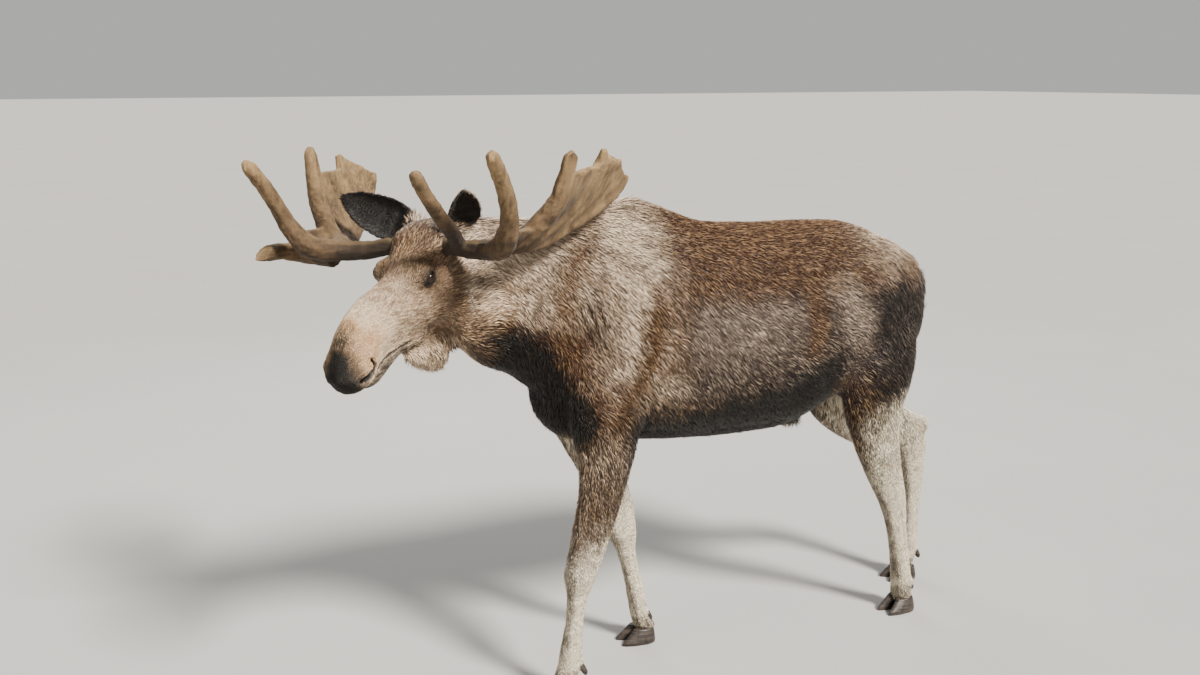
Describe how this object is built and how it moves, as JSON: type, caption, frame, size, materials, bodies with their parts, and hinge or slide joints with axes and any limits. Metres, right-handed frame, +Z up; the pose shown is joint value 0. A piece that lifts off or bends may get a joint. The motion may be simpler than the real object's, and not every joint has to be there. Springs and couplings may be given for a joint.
{
  "type": "moose",
  "caption": "Bull moose in mid-stride, head turned to its left and lowered, with broad palmate antlers in velvet, a hanging bell, long pale legs and cloven hooves.",
  "frame": {"origin": "on the ground, under the middle of the animal's bounding box", "axes": "+X towards the rump, along the trunk; -Y towards the animal's left side; +Z up"},
  "size_m": [3.0167, 1.303, 2.076],
  "materials": {
    "coat": "short coarse glossy hair over skin: brown body, dark rump and belly, silvery tan hump and neck, pale lower legs",
    "velvet": "soft brown velvet skin over growing antler",
    "eye": "wet, very dark brown",
    "hoof": "dark grey-brown horn with growth rings"
  },
  "bodies": {
    "root": {"trunk": "coat", "neck": "coat", "head": "coat", "bell": "coat", "tail": "coat", "ear_left": "coat", "ear_right": "coat", "leg_front_left": "coat", "leg_front_right": "coat", "leg_hind_left": "coat", "leg_hind_right": "coat", "eye_left": "eye", "eye_right": "eye", "antler_beam_left": "velvet", "antler_brow_left": "velvet", "antler_upright_left": "velvet", "antler_palm_left": "velvet", "antler_beam_right": "velvet", "antler_brow_right": "velvet", "antler_upright_right": "velvet", "antler_palm_right": "velvet", "hoof_front_left_inner": "hoof", "hoof_front_left_outer": "hoof", "hoof_front_right_inner": "hoof", "hoof_front_right_outer": "hoof", "hoof_hind_left_inner": "hoof", "hoof_hind_left_outer": "hoof", "hoof_hind_right_inner": "hoof", "hoof_hind_right_outer": "hoof", "dewclaw_front_left_inner": "hoof", "dewclaw_front_left_outer": "hoof", "dewclaw_front_right_inner": "hoof", "dewclaw_front_right_outer": "hoof", "dewclaw_hind_left_inner": "hoof", "dewclaw_hind_left_outer": "hoof", "dewclaw_hind_right_inner": "hoof", "dewclaw_hind_right_outer": "hoof"}
  },
  "joints": []
}
